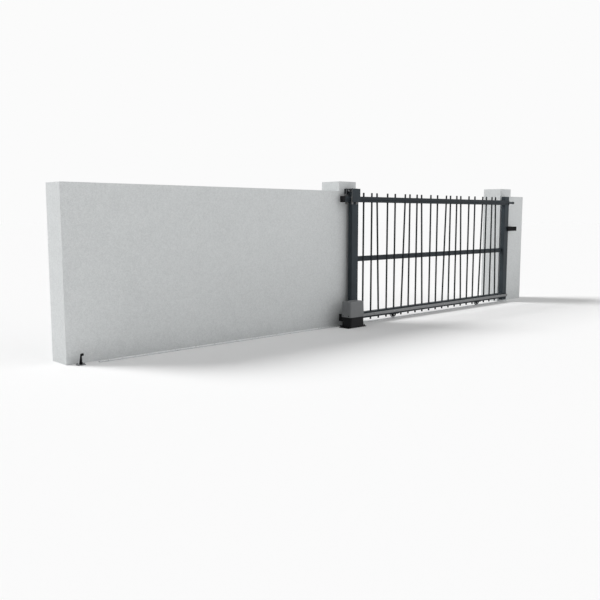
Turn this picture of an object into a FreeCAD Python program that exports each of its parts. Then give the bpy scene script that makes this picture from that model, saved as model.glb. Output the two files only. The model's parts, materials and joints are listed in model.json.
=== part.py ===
import FreeCAD, Part
import math
import os
import re

from FreeCAD import Placement, Rotation, Vector

# Sliding driveway gate: a barred leaf on two grooved wheels rolls on a ground rail in front of
# a rendered wall, guided by rollers on one pillar and caught by a bracket on the other.
# Millimetres. The origin is the middle of the left pillar's foot, +X runs along the wall
# towards the closed side, -Y is the drive side and +Z is up.

SIZES = {
    # masonry
    "opening_width": 4056,
    "wall_height": 2000,
    "wall_thickness": 350,
    "pillar_width": 360,
    "pillar_depth": 366,
    "pillar_height": 2140,
    "boundary_wall_length": 4320,
    "return_wall_length": 456,
    # leaf frame
    "leaf_offset": 87,
    "left_overlap": 216,
    "right_overlap": 99,
    "travel": 4120,
    "stile_width": 140,
    "stile_depth": 80,
    "stile_top": 1990,
    "frame_foot": 40,
    "top_rail_bottom": 1836,
    "top_rail_height": 84,
    "top_rail_depth": 90,
    "top_rail_band": 50,
    "top_rail_recess": 10,
    "top_rail_tail": 160,
    "mid_rail_bottom": 950,
    "mid_rail_height": 76,
    "mid_rail_depth": 40,
    "beam_bottom": 75,
    "beam_height": 95,
    "beam_depth": 80,
    "beam_tail": 174,
    "tube_wall": 4,
    "tube_corner": 6,
    "end_cap_thickness": 6,
    "end_cap_lip": 4,
    # bars
    "bar_diameter": 27,
    "bar_pitch": 186.4,
    "first_bar_gap": 158,
    "last_bar_gap": 150,
    "bar_top": 1980,
    "bar_lean": 2,
    "bar_clearance": 0.3,
    # ground rail
    "rail_strip_width": 60,
    "rail_strip_height": 5,
    "rail_head_radius": 9,
    "rail_head_rise": 2,
    "rail_left_setback": 180,
    "rail_right_margin": 65,
    # wheels
    "wheel_radius": 50,
    "wheel_width": 30,
    "axle_height": 62,
    "axle_diameter": 14,
    "groove_clearance": 0.4,
    "wheel_hub_radius": 17,
    "wheel_rim_radius": 34,
    "wheel_web_recess": 6,
    "rear_wheel_place": 1027,
    "front_wheel_place": 3416,
    "carriage_length": 230,
    "carriage_depth": 74,
    "carriage_plate": 6,
    "carriage_drop": 42,
    "cheek_foot": 64,
    "wheel_side_gap": 5,
    "wheel_end_gap": 8,
    "fit_clearance": 0.1,
    # top guide
    "guide_width": 166,
    "guide_place": 8,
    "guide_plate": 6,
    "guide_top": 2032,
    "guide_front_bottom": 1835,
    "guide_wall_bottom": 1958,
    "roller_diameter": 30,
    "roller_height": 108,
    "roller_chamfer": 2,
    "roller_bottom": 1808,
    "roller_spacing": 94,
    "roller_shift": -19,
    "roller_clearance": 0.3,
    "roller_side_gap": 5.4,
    "roller_pin_diameter": 12,
    "roller_pin_head": 20,
    "roller_pin_head_height": 5,
    "running_gap": 0.5,
    # closing catch
    "catch_bottom": 1348,
    "catch_height": 80,
    "catch_plate": 8,
    "catch_arm_gap": 6,
    "catch_grip": 60,
    "catch_lip": 24,
    "catch_lip_flare": 14,
    "catch_back_lap": 10,
    "catch_end_lap": 12,
    # closing pin
    "pin_diameter": 40,
    "pin_length": 190,
    "pin_tip_diameter": 46,
    "pin_tip_length": 32,
    "pin_tip_round": 9,
    # open stop
    "stop_gap": 6,
    "stop_plate_length": 88,
    "stop_plate_width": 64,
    "stop_plate_thickness": 8,
    "stop_post_thickness": 22,
    "stop_post_width": 34,
    "stop_post_top": 122,
    "stop_post_top_thickness": 8,
    "stop_post_top_width": 20,
    "stop_bolt_hole": 11,
    "stop_bolt_edge": 12,
    "buffer_diameter": 28,
    "buffer_length": 22,
    "buffer_height": 114,
    # rack and drive
    "rack_top": 148,
    "rack_height": 44,
    "rack_thickness": 22,
    "rack_gap": 10,
    "rack_lengths": 5,
    "rack_joint_gap": 1.5,
    "spacer_diameter": 22,
    "spacers_per_length": 2,
    "tooth_module": 4,
    "pressure_angle": 20,
    "pinion_teeth": 16,
    "pinion_hub_diameter": 40,
    "pinion_hub_length": 10,
    "mesh_clearance": 0.6,
    "drive_place": -163,
    "drive_width": 302,
    "drive_depth": 190,
    "drive_gap": 21,
    "drive_base_height": 154,
    "drive_height": 385,
    "drive_base_inset": 9,
    "drive_base_flare": 6,
    "drive_base_left_inset": 36,
    "drive_base_left_flare": 26,
    "drive_base_corner": 16,
    "drive_cover_taper": 5,
    "drive_cover_corner": 22,
    "drive_cover_round": 12,
    "drive_plate_thickness": 8,
    "drive_plate_margin": 45,
    "anchor_hole": 13,
    "anchor_edge": 22,
    "shaft_diameter": 20,
    "bearing_boss_diameter": 46,
    "bearing_boss_length": 8,
    "bearing_depth": 30,
}

# Places worked out from the sizes.
PLACES = {
    "pillar_face": "-wall_thickness / 2",
    "pillar_back": "pillar_face + pillar_depth",
    "right_pillar_left": "pillar_width / 2 + opening_width",
    "right_pillar_right": "right_pillar_left + pillar_width",
    "leaf_middle": "pillar_face - leaf_offset",
    "leaf_left": "pillar_width / 2 - left_overlap",
    "leaf_right": "right_pillar_left + right_overlap",
    "stile_front": "leaf_middle - stile_depth / 2",
    "stile_back": "leaf_middle + stile_depth / 2",
    "top_rail_top": "top_rail_bottom + top_rail_height",
    "top_rail_left": "leaf_left - top_rail_tail",
    "top_rail_step": "top_rail_top - top_rail_band",
    "beam_top": "beam_bottom + beam_height",
    "beam_left": "leaf_left - beam_tail",
    "first_bar": "leaf_left + stile_width + first_bar_gap",
    "rail_axis_height": "rail_strip_height + rail_head_rise",
    "rail_left": "beam_left - travel + rail_left_setback",
    "rail_right": "leaf_right + rail_right_margin",
    "groove_radius": "rail_head_radius + groove_clearance",
    "cheek_inner": "wheel_width / 2 + wheel_side_gap",
    "cheek_outer": "cheek_inner + carriage_plate",
    "slot_half": "wheel_radius + wheel_end_gap",
    "guide_left": "guide_place - guide_width / 2",
    "guide_right": "guide_place + guide_width / 2",
    "roller_offset": "top_rail_depth / 2 + roller_clearance + roller_diameter / 2",
    "guide_front": "leaf_middle - roller_offset - roller_diameter / 2 - roller_side_gap",
    "catch_front": "stile_front - catch_arm_gap",
    "catch_right": "right_pillar_right + catch_end_lap",
    "stop_left": "stop_face - buffer_length - stop_post_thickness",
    "stop_middle": "stop_left + stop_post_thickness / 2",
    "stop_face": "beam_left - end_cap_thickness - travel - stop_gap",
    "rack_back": "leaf_middle - beam_depth / 2 - rack_gap",
    "rack_front": "rack_back - rack_thickness",
    "rack_bottom": "rack_top - rack_height",
    "pinion_radius": "tooth_module * pinion_teeth / 2",
    "shaft_height": "rack_bottom + tooth_module - pinion_radius - mesh_clearance",
    "drive_back": "rack_front - drive_gap",
    "drive_front": "drive_back - drive_depth",
    "drive_left": "drive_place - drive_width / 2",
    "drive_right": "drive_place + drive_width / 2",
}

doc = FreeCAD.newDocument("SlidingGate")
sheet = doc.addObject("Spreadsheet::Sheet", "Sizes")
for row, (alias, number) in enumerate(SIZES.items(), start=1):
    sheet.set(f"A{row}", alias)
    sheet.set(f"B{row}", str(number))
    sheet.setAlias(f"B{row}", alias)
doc.recompute()

nodes = []


def formula(text):
    """Spell out a formula in cells of the sheet."""
    def spell(match):
        word = match.group()
        if word in PLACES:
            return "(" + formula(PLACES[word]) + ")"
        return "Sizes." + word
    return re.sub(r"[a-z][a-z_]+", spell, text)


def value(text):
    """The number that a formula gives now."""
    return float(sheet.evalExpression(formula(text)))


def bind(feature, **formulas):
    for name, text in formulas.items():
        feature.setExpression(name.replace("__", "."), formula(text))


def put(feature, x, y, z):
    bind(feature, Placement__Base__x=x, Placement__Base__y=y, Placement__Base__z=z)


def node(feature, label):
    """Name a finished sub-part, which is written to its own file."""
    feature.Label = label
    nodes.append(feature)
    return feature


def box(name, x, y, z):
    """A block between low and high formulas on each axis."""
    block = doc.addObject("Part::Box", name)
    for side, span in (("Length", x), ("Width", y), ("Height", z)):
        bind(block, **{side: f"({span[1]}) - ({span[0]})"})
    put(block, x[0], y[0], z[0])
    return block


ALONG_X = Rotation(Vector(0, 1, 0), 90)
ALONG_Y = Rotation(Vector(1, 0, 0), -90)
ALONG_Z = Rotation()
X_AXIS, Y_AXIS, Z_AXIS = Vector(1, 0, 0), Vector(0, 1, 0), Vector(0, 0, 1)


def rod(name, diameter, length, start, turn):
    """A round rod from its start point along one axis."""
    cylinder = doc.addObject("Part::Cylinder", name)
    cylinder.Placement = Placement(Vector(), turn)
    bind(cylinder, Radius=f"({diameter}) / 2", Height=length)
    put(cylinder, *start)
    return cylinder


def taper(name, foot, top):
    """A block that tapers upwards. Foot and top each give an x range, a y range and a height."""
    block = doc.addObject("Part::Wedge", name)
    block.Placement = Placement(Vector(), Rotation(Vector(1, 0, 0), 90))
    for place, (x, y, z) in (("", foot), ("2", top)):
        bind(block, **{f"X{place}min": x[0], f"X{place}max": x[1],
                       f"Z{place}min": f"-({y[1]})", f"Z{place}max": f"-({y[0]})",
                       "Ymax" if place else "Ymin": z})
    return block


def prism(name, points, direction, depth):
    """A flat outline pushed out to a depth."""
    outline = doc.addObject("Part::Polygon", f"{name}Outline")
    outline.Nodes = points
    outline.Close = True
    solid = doc.addObject("Part::Extrusion", name)
    solid.Base = outline
    solid.DirMode = "Custom"
    solid.Dir = direction
    solid.Solid = True
    bind(solid, LengthFwd=depth)
    return solid


def trim_edges(kind, name, base, size, picked):
    """Fillet or chamfer the edges of a piece that a test picks."""
    doc.recompute()
    result = doc.addObject(f"Part::{kind}", name)
    result.Base = base
    amount = value(size)
    result.Edges = [(number, amount, amount) for number, edge in enumerate(base.Shape.Edges, start=1)
                    if picked(edge)]
    return result


def runs_along(axis):
    return lambda edge: isinstance(edge.Curve, Part.Line) and abs(edge.tangentAt(0).dot(axis)) > 0.9


def is_circle(diameter):
    radius = value(diameter) / 2
    return lambda edge: isinstance(edge.Curve, Part.Circle) and abs(edge.Curve.Radius - radius) < 0.01


def cut(name, base, tool):
    result = doc.addObject("Part::Cut", name)
    result.Base, result.Tool = base, tool
    return result


def fuse(name, *pieces):
    result = doc.addObject("Part::MultiFuse", name)
    result.Shapes = list(pieces)
    result.Refine = True
    return result


def group(name, pieces):
    """Like pieces of one body that don't touch, in one node."""
    result = doc.addObject("Part::Compound", name)
    result.Links = list(pieces)
    return result


def masonry():
    depth = ("pillar_face", "wall_thickness / 2")
    pillar = ("pillar_face", "pillar_back")
    node(box("BoundaryWall", ("-pillar_width / 2 - boundary_wall_length", "-pillar_width / 2"), depth,
             ("0", "wall_height")), "boundary_wall")
    node(box("LeftPillar", ("-pillar_width / 2", "pillar_width / 2"), pillar,
             ("0", "pillar_height")), "left_pillar")
    node(box("RightPillar", ("right_pillar_left", "right_pillar_right"), pillar,
             ("0", "pillar_height")), "right_pillar")
    node(box("ReturnWall", ("right_pillar_right", "right_pillar_right + return_wall_length"), depth,
             ("0", "wall_height")), "return_wall")


def ground_rail():
    strip = box("RailStrip", ("rail_left", "rail_right"),
                ("leaf_middle - rail_strip_width / 2", "leaf_middle + rail_strip_width / 2"),
                ("0", "rail_strip_height"))
    head = rod("RailHead", "2 * rail_head_radius", "rail_right - rail_left",
               ("rail_left", "leaf_middle", "rail_axis_height"), ALONG_X)
    below = box("RailHeadBelow", ("rail_left", "rail_right"),
                ("leaf_middle - rail_head_radius", "leaf_middle + rail_head_radius"),
                ("-rail_head_radius", "0"))
    node(fuse("GroundRail", strip, cut("RailHeadTrimmed", head, below)), "ground_rail")


def bar_count():
    room = value("leaf_right - stile_width - first_bar - last_bar_gap")
    return int(room // value("bar_pitch")) + 1


def bar_place(index):
    return f"first_bar + {index} * bar_pitch"


def bar_rod(name, index, clearance):
    """One infill bar, upright, or leaning about its foot at every third place."""
    lean = 0
    if index % 3 == 2:
        lean = -1 if index % 6 == 2 else 1
    foot = (bar_place(index), "leaf_middle", "frame_foot")
    bar = rod(name, f"bar_diameter + 2 * ({clearance})", "bar_top - frame_foot", foot, ALONG_Z)
    if lean:
        bar.Placement = Placement(Vector(), Rotation(Vector(0, lean, 0), 1))
        bind(bar, Placement__Rotation__Angle="bar_lean")
        put(bar, *foot)
    return bar


def over_a_wheel(index):
    """Whether a bar would pass through a wheel's slot in the beam."""
    place = value(bar_place(index))
    room = value("slot_half + bar_diameter")
    wheels = (value("leaf_left + rear_wheel_place"), value("leaf_left + front_wheel_place"))
    return any(abs(place - wheel) < room for wheel in wheels)


def bars():
    upright, leaning = [], []
    for index in range(bar_count()):
        bar = bar_rod(f"Bar{index}", index, "0")
        if over_a_wheel(index):
            place = bar_place(index)
            below = box(f"Bar{index}Below", (f"{place} - bar_diameter", f"{place} + bar_diameter"),
                        ("leaf_middle - bar_diameter", "leaf_middle + bar_diameter"), ("0", "beam_top"))
            bar = cut(f"Bar{index}OnBeam", bar, below)
        (leaning if index % 3 == 2 else upright).append(bar)
    node(group("UprightBars", upright), "upright_bars")
    node(group("LeaningBars", leaning), "leaning_bars")


def bar_holes(name, skip_wheels=False):
    indices = [i for i in range(bar_count()) if not (skip_wheels and over_a_wheel(i))]
    return group(name, [bar_rod(f"{name}{i}", i, "bar_clearance") for i in indices])


def rounded_box(name, x, y, z, axis):
    """A block whose four edges along one axis are rounded as a tube's are."""
    return trim_edges("Fillet", name, box(f"{name}Block", x, y, z), "tube_corner", runs_along(axis))


def tube(name, x, y, z):
    """A square tube along X with open ends."""
    inner_y = (f"{y[0]} + tube_wall", f"{y[1]} - tube_wall")
    inner_z = (f"{z[0]} + tube_wall", f"{z[1]} - tube_wall")
    return cut(name, rounded_box(f"{name}Outer", x, y, z, X_AXIS), box(f"{name}Bore", x, inner_y, inner_z))


def top_rail_tube(x):
    """The top rail's tube: a deep band for the rollers over a lower part that is set back."""
    middle, half = "leaf_middle", "top_rail_depth / 2"
    low_half = "(top_rail_depth / 2 - top_rail_recess)"
    band = rounded_box("TopRailBand", x, (f"{middle} - {half}", f"{middle} + {half}"),
                       ("top_rail_step", "top_rail_top"), X_AXIS)
    low = box("TopRailLow", x, (f"{middle} - {low_half}", f"{middle} + {low_half}"),
              ("top_rail_bottom", "top_rail_step"))
    band_bore = box("TopRailBandBore", x,
                    (f"{middle} - {half} + tube_wall", f"{middle} + {half} - tube_wall"),
                    ("top_rail_step + tube_wall", "top_rail_top - tube_wall"))
    low_bore = box("TopRailLowBore", x,
                   (f"{middle} - {low_half} + tube_wall", f"{middle} + {low_half} - tube_wall"),
                   ("top_rail_bottom + tube_wall", "top_rail_step + tube_wall"))
    return cut("TopRailTube", fuse("TopRailOuter", band, low), fuse("TopRailBore", band_bore, low_bore))


def leaf_frame():
    rail_y = ("leaf_middle - top_rail_depth / 2", "leaf_middle + top_rail_depth / 2")
    rail_z = ("top_rail_bottom", "top_rail_top")
    rail = top_rail_tube(("top_rail_left", "leaf_right - end_cap_thickness"))
    node(cut("TopRail", rail, bar_holes("TopRailHole")), "top_rail")

    mid = box("MidRailBlank", ("leaf_left + stile_width", "leaf_right - stile_width"),
              ("leaf_middle", "leaf_middle + mid_rail_depth"),
              ("mid_rail_bottom", "mid_rail_bottom + mid_rail_height"))
    node(cut("MidRail", mid, bar_holes("MidRailNotch")), "mid_rail")

    beam_y = ("leaf_middle - beam_depth / 2", "leaf_middle + beam_depth / 2")
    beam_z = ("beam_bottom", "beam_top")
    beam = tube("BeamTube", ("beam_left", "leaf_right - end_cap_thickness"), beam_y, beam_z)
    slots = [box(f"BeamSlot{place}", (f"leaf_left + {place} - slot_half", f"leaf_left + {place} + slot_half"),
                 ("leaf_middle - cheek_inner", "leaf_middle + cheek_inner"),
                 ("beam_bottom", "beam_bottom + tube_wall"))
             for place in ("rear_wheel_place", "front_wheel_place")]
    openings = group("BeamOpenings", [bar_holes("BeamHole", skip_wheels=True)] + slots)
    node(cut("BottomBeam", beam, openings), "bottom_beam")

    for side, x in (("left", ("leaf_left", "leaf_left + stile_width")),
                    ("right", ("leaf_right - stile_width", "leaf_right"))):
        spans = (("frame_foot", "beam_bottom"), ("beam_top", "top_rail_bottom"),
                 ("top_rail_top", "stile_top"))
        pieces = [rounded_box(f"{side.title()}Stile{n}", x, ("stile_front", "stile_back"), z, Z_AXIS)
                  for n, z in enumerate(spans)]
        node(group(f"{side.title()}Stile", pieces), f"{side}_stile")

    for tube_name, label, left, y, z in (("TopRail", "top_rail_caps", "top_rail_left", rail_y, rail_z),
                                         ("Beam", "beam_caps", "beam_left", beam_y, beam_z)):
        lipped = [(f"{low} - end_cap_lip", f"{high} + end_cap_lip") for low, high in (y, z)]
        caps = [rounded_box(f"{tube_name}LeftCap", (f"{left} - end_cap_thickness", left), *lipped, X_AXIS),
                rounded_box(f"{tube_name}RightCap", ("leaf_right - end_cap_thickness", "leaf_right"), y, z,
                            X_AXIS)]
        node(group(f"{tube_name}Caps", caps), label)
    pin_middle = "top_rail_bottom + top_rail_height / 2"
    node(rod("ClosingPin", "pin_diameter", "pin_length", ("leaf_right", "leaf_middle", pin_middle), ALONG_X),
         "closing_pin")
    tip = rod("PinTipBlank", "pin_tip_diameter", "pin_tip_length",
              ("leaf_right + pin_length", "leaf_middle", pin_middle), ALONG_X)
    outer_end = value("leaf_right + pin_length + pin_tip_length") - 0.01
    node(trim_edges("Fillet", "PinTip", tip, "pin_tip_round", lambda edge: edge.BoundBox.XMin > outer_end),
         "pin_tip")


def carriage(side):
    """A wheel with its axle and the bracket that holds it under the beam."""
    name = side.title()
    middle = f"leaf_left + {side}_wheel_place"
    flange = box(f"{name}Flange", (f"{middle} - carriage_length / 2", f"{middle} + carriage_length / 2"),
                 ("leaf_middle - carriage_depth / 2", "leaf_middle + carriage_depth / 2"),
                 ("beam_bottom - carriage_plate", "beam_bottom"))
    cheeks = [taper(f"{name}Cheek{n}",
                    ((f"{middle} - cheek_foot / 2", f"{middle} + cheek_foot / 2"), y,
                     "beam_bottom - carriage_drop"),
                    ((f"{middle} - slot_half", f"{middle} + slot_half"), y, "beam_bottom - carriage_plate"))
              for n, y in enumerate((("leaf_middle - cheek_outer", "leaf_middle - cheek_inner"),
                                     ("leaf_middle + cheek_inner", "leaf_middle + cheek_outer")))]
    slot = box(f"{name}FlangeSlot", (f"{middle} - slot_half", f"{middle} + slot_half"),
               ("leaf_middle - cheek_inner", "leaf_middle + cheek_inner"),
               ("beam_bottom - carriage_plate", "beam_bottom"))
    bore = rod(f"{name}CheekBore", "axle_diameter + 2 * fit_clearance", "2 * cheek_outer",
               (middle, "leaf_middle - cheek_outer", "axle_height"), ALONG_Y)
    body = cut(f"{name}CarriageSlotted", fuse(f"{name}CarriageBlank", flange, *cheeks), slot)
    node(cut(f"{name}Carriage", body, bore), f"{side}_carriage")

    node(rod(f"{name}Axle", "axle_diameter", "2 * cheek_outer + 2 * carriage_plate",
             (middle, "leaf_middle - cheek_outer - carriage_plate", "axle_height"), ALONG_Y), f"{side}_axle")

    tyre = rod(f"{name}Tyre", "2 * wheel_radius", "wheel_width",
               (middle, "leaf_middle - wheel_width / 2", "axle_height"), ALONG_Y)
    groove = doc.addObject("Part::Torus", f"{name}Groove")
    groove.Placement = Placement(Vector(), ALONG_Y)
    bind(groove, Radius1="axle_height - rail_axis_height", Radius2="groove_radius")
    put(groove, middle, "leaf_middle", "axle_height")
    hub = rod(f"{name}WheelBore", "axle_diameter + 2 * fit_clearance", "wheel_width",
              (middle, "leaf_middle - wheel_width / 2", "axle_height"), ALONG_Y)
    recesses = []
    for face, y in (("Front", "leaf_middle - wheel_width / 2"),
                    ("Back", "leaf_middle + wheel_width / 2 - wheel_web_recess")):
        discs = [rod(f"{name}{face}{part}", f"2 * wheel_{part.lower()}_radius", "wheel_web_recess",
                     (middle, y, "axle_height"), ALONG_Y) for part in ("Rim", "Hub")]
        recesses.append(cut(f"{name}{face}Recess", *discs))
    openings = group(f"{name}WheelOpenings", [groove, hub] + recesses)
    node(cut(f"{name}Wheel", tyre, openings), f"{side}_wheel")


def top_guide():
    """An inverted U of plate on the left pillar, with rollers on both faces of the top rail."""
    x = ("guide_left", "guide_right")
    under = "guide_top - guide_plate"
    node(box("GuideWallPlate", x, ("pillar_face - guide_plate", "pillar_face"), ("guide_wall_bottom", under)),
         "guide_wall_plate")
    node(box("GuideTopPlate", x, ("guide_front - guide_plate", "pillar_face"), (under, "guide_top")),
         "guide_top_plate")
    node(box("GuideFrontPlate", x, ("guide_front - guide_plate", "guide_front"),
             ("guide_front_bottom", under)), "guide_front_plate")
    pins = []
    for row, sign in (("front", "-"), ("rear", "+")):
        for side, shift in (("left", "-"), ("right", "+")):
            name = f"{row.title()}{side.title()}"
            x = f"guide_place + roller_shift {shift} roller_spacing / 2"
            y = f"leaf_middle {sign} roller_offset"
            foot = (x, y, "roller_bottom")
            body = rod(f"{name}RollerBlank", "roller_diameter", "roller_height", foot, ALONG_Z)
            body = trim_edges("Chamfer", f"{name}Roller", body, "roller_chamfer",
                              is_circle("roller_diameter"))
            bore = rod(f"{name}RollerBore", "roller_pin_diameter + 2 * fit_clearance", "roller_height",
                       foot, ALONG_Z)
            node(cut(f"{name}GuideRoller", body, bore), f"guide_roller_{row}_{side}")
            head_bottom = "roller_bottom - running_gap - roller_pin_head_height"
            shank = rod(f"{name}PinShank", "roller_pin_diameter", f"{under} - ({head_bottom})",
                        (x, y, head_bottom), ALONG_Z)
            head = rod(f"{name}PinHead", "roller_pin_head", "roller_pin_head_height",
                       (x, y, head_bottom), ALONG_Z)
            pins.append(fuse(f"{name}Pin", shank, head))
    node(group("RollerPins", pins), "roller_pins")


def closing_catch():
    """A bent plate on the right pillar whose front arm, with a flared lip, laps over the closing stile."""
    back, left = value("pillar_face"), value("leaf_right + catch_back_lap")
    front, right = value("catch_front"), value("catch_right")
    plate, lip, flare = value("catch_plate"), value("catch_lip"), value("catch_lip_flare")
    arm = value("leaf_right - catch_grip + catch_lip")
    outline = [(left, back), (right, back), (right, front - plate), (arm, front - plate),
               (arm - lip, front - plate - flare), (arm - lip, front - flare), (arm, front),
               (right - plate, front), (right - plate, back - plate), (left, back - plate)]
    points = [Vector(x, y, value("catch_bottom")) for x, y in outline]
    node(prism("ClosingCatch", points, Z_AXIS, "catch_height"), "closing_catch")


def bolt_holes(name, diameter, x, y, depth):
    """Four holes through a plate, at low and high places on each axis."""
    return group(name, [rod(f"{name}{m}{n}", diameter, depth, (along, across, "0"), ALONG_Z)
                        for m, along in enumerate(x) for n, across in enumerate(y)])


def open_stop():
    """A post on a plate, with a rubber buffer that meets the beam when the gate is open."""
    post_x = ("stop_left", "stop_left + stop_post_thickness")
    plate_x = ("stop_middle - stop_plate_length / 2", "stop_middle + stop_plate_length / 2")
    plate_y = ("leaf_middle - stop_plate_width / 2", "leaf_middle + stop_plate_width / 2")
    plate = box("StopPlateBlank", plate_x, plate_y, ("0", "stop_plate_thickness"))
    holes = bolt_holes("StopBoltHoles", "stop_bolt_hole",
                       (f"{plate_x[0]} + stop_bolt_edge", f"{plate_x[1]} - stop_bolt_edge"),
                       (f"{plate_y[0]} + stop_bolt_edge", f"{plate_y[1]} - stop_bolt_edge"),
                       "stop_plate_thickness")
    node(cut("StopPlate", plate, holes), "stop_plate")

    foot, top = [((f"{post_x[1]} - {thickness}", post_x[1]),
                  (f"leaf_middle - {width} / 2", f"leaf_middle + {width} / 2"), height)
                 for thickness, width, height in (
                     ("stop_post_thickness", "stop_post_width", "stop_plate_thickness"),
                     ("stop_post_top_thickness", "stop_post_top_width", "stop_post_top"))]
    node(taper("StopPost", foot, top), "stop_post")
    node(rod("StopBuffer", "buffer_diameter", "buffer_length", (post_x[1], "leaf_middle", "buffer_height"),
             ALONG_X), "stop_buffer")


TOOTH_DEDENDUM = 1.25


def rack_outline(first, last):
    """The side of one rack length, from one tooth space to another, counted from the pinion's axis."""
    module, middle = value("tooth_module"), value("drive_place")
    pitch = math.pi * module
    slope = math.tan(math.radians(value("pressure_angle")))
    tip, front, top = value("rack_bottom"), value("rack_front"), value("rack_top")
    root = tip + module * (1 + TOOTH_DEDENDUM)
    tip_half = pitch / 4 - module * slope
    root_half = pitch / 4 + module * TOOTH_DEDENDUM * slope
    left = middle + first * pitch + value("rack_joint_gap") / 2
    right = middle + last * pitch - value("rack_joint_gap") / 2
    outline = [(left, top), (left, root)]
    for index in range(first, last):
        tooth = middle + (index + 0.5) * pitch
        outline += [(tooth - root_half, root), (tooth - tip_half, tip),
                    (tooth + tip_half, tip), (tooth + root_half, root)]
    outline += [(right, root), (right, top)]
    return [Vector(x, front, z) for x, z in outline]


def gear_rack():
    """Toothed lengths end to end along the beam, in step with the pinion, each on round spacers."""
    pitch = math.pi * value("tooth_module")
    before = int(value("drive_place - beam_left") // pitch)
    after = int(value("leaf_right - drive_place") // pitch)
    count, per_length = int(value("rack_lengths")), int(value("spacers_per_length"))
    ends = [round(n * (before + after) / count) - before for n in range(count + 1)]
    lengths, spacers = [], []
    for n, (first, last) in enumerate(zip(ends, ends[1:])):
        lengths.append(prism(f"RackLength{n}", rack_outline(first, last), Y_AXIS, "rack_thickness"))
        for m in range(per_length):
            turns = first + (last - first) * (m + 0.5) / per_length
            spacers.append(rod(f"RackSpacer{n}_{m}", "spacer_diameter", "rack_gap",
                               (f"drive_place + {turns * math.pi} * tooth_module", "rack_back",
                                "rack_top - rack_height / 3"), ALONG_Y))
    node(group("GearRack", lengths), "gear_rack")
    node(group("RackSpacers", spacers), "rack_spacers")


def pinion_face():
    """The pinion's toothed outline, with involute flanks drawn as arcs and one tooth straight up."""
    teeth, module = int(value("pinion_teeth")), value("tooth_module")
    angle = math.radians(value("pressure_angle"))
    pitch_radius, root_radius = value("pinion_radius"), value("pinion_radius") - TOOTH_DEDENDUM * module
    base_radius, tip_radius = pitch_radius * math.cos(angle), pitch_radius + module
    centre = Vector(value("drive_place"), value("rack_front"), value("shaft_height"))

    def involute(radius):
        tilt = math.acos(min(1, base_radius / radius))
        return math.tan(tilt) - tilt

    def half_tooth(radius):
        return math.pi / (2 * teeth) + math.tan(angle) - angle - involute(radius)

    def at(radius, turn):
        return centre + Vector(radius * math.sin(turn), 0, radius * math.cos(turn))

    flank = [base_radius, (base_radius + tip_radius) / 2, tip_radius]
    edges = []
    for index in range(teeth):
        turn = 2 * math.pi * index / teeth
        rising = [at(radius, turn - half_tooth(radius)) for radius in flank]
        falling = [at(radius, turn + half_tooth(radius)) for radius in reversed(flank)]
        foot = half_tooth(base_radius)
        gap = turn + math.pi / teeth
        edges += [Part.LineSegment(at(root_radius, turn - foot), rising[0]), Part.Arc(*rising),
                  Part.Arc(rising[-1], at(tip_radius, turn), falling[0]), Part.Arc(*falling),
                  Part.LineSegment(falling[-1], at(root_radius, turn + foot)),
                  Part.Arc(at(root_radius, turn + foot), at(root_radius, gap),
                           at(root_radius, gap + math.pi / teeth - foot))]
    return Part.Face(Part.Wire([edge.toShape() for edge in edges]))


def pinion():
    teeth = doc.addObject("Part::Feature", "PinionTeeth")
    teeth.Shape = pinion_face().extrude(Vector(0, value("rack_thickness"), 0))
    hub = rod("PinionHub", "pinion_hub_diameter", "pinion_hub_length",
              ("drive_place", "rack_front - pinion_hub_length", "shaft_height"), ALONG_Y)
    bore = rod("PinionBore", "shaft_diameter + 2 * fit_clearance", "pinion_hub_length + rack_thickness",
               ("drive_place", "rack_front - pinion_hub_length", "shaft_height"), ALONG_Y)
    node(cut("Pinion", fuse("PinionBlank", teeth, hub), bore), "pinion")


def drive_unit():
    """The gear motor in front of the left pillar, with its pinion under the rack."""
    plate_x = ("drive_left - drive_plate_margin", "drive_right + drive_plate_margin")
    plate = box("DrivePlateBlank", plate_x, ("drive_front", "drive_back"), ("0", "drive_plate_thickness"))
    anchors = bolt_holes("AnchorHoles", "anchor_hole",
                         (f"{plate_x[0]} + anchor_edge", f"{plate_x[1]} - anchor_edge"),
                         ("drive_front + anchor_edge", "drive_back - anchor_edge"), "drive_plate_thickness")
    node(cut("DrivePlate", plate, anchors), "drive_plate")

    foot, top = [((f"drive_left + {left}", f"drive_right - ({inset})"),
                  (f"drive_front + {inset}", "drive_back"), height)
                 for left, inset, height in (
                     ("drive_base_left_inset - drive_base_left_flare", "drive_base_inset - drive_base_flare",
                      "drive_plate_thickness"),
                     ("drive_base_left_inset", "drive_base_inset", "drive_base_height"))]
    casting = taper("DriveBaseBlock", foot, top)
    casting = trim_edges("Fillet", "DriveBaseRounded", casting, "drive_base_corner", runs_along(Z_AXIS))
    boss = rod("BearingBoss", "bearing_boss_diameter", "bearing_boss_length",
               ("drive_place", "drive_back", "shaft_height"), ALONG_Y)
    bore = rod("BearingBore", "shaft_diameter + 2 * fit_clearance", "bearing_depth + bearing_boss_length",
               ("drive_place", "drive_back - bearing_depth", "shaft_height"), ALONG_Y)
    node(cut("DriveBase", fuse("DriveBaseBossed", casting, boss), bore), "drive_base")

    slant = "drive_cover_taper"
    hood = taper("DriveCoverBlock",
                 (("drive_left", "drive_right"), ("drive_front", "drive_back"), "drive_base_height"),
                 ((f"drive_left + {slant}", f"drive_right - {slant}"),
                  (f"drive_front + {slant}", f"drive_back - {slant}"), "drive_height"))
    hood = trim_edges("Fillet", "DriveCoverSides", hood, "drive_cover_corner", runs_along(Z_AXIS))
    roof = value("drive_height") - 0.01
    node(trim_edges("Fillet", "DriveCover", hood, "drive_cover_round",
                    lambda edge: edge.BoundBox.ZMin > roof), "drive_cover")

    node(rod("DriveShaft", "shaft_diameter", "bearing_depth + drive_gap + rack_thickness",
             ("drive_place", "drive_back - bearing_depth", "shaft_height"), ALONG_Y), "drive_shaft")
    pinion()


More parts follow.
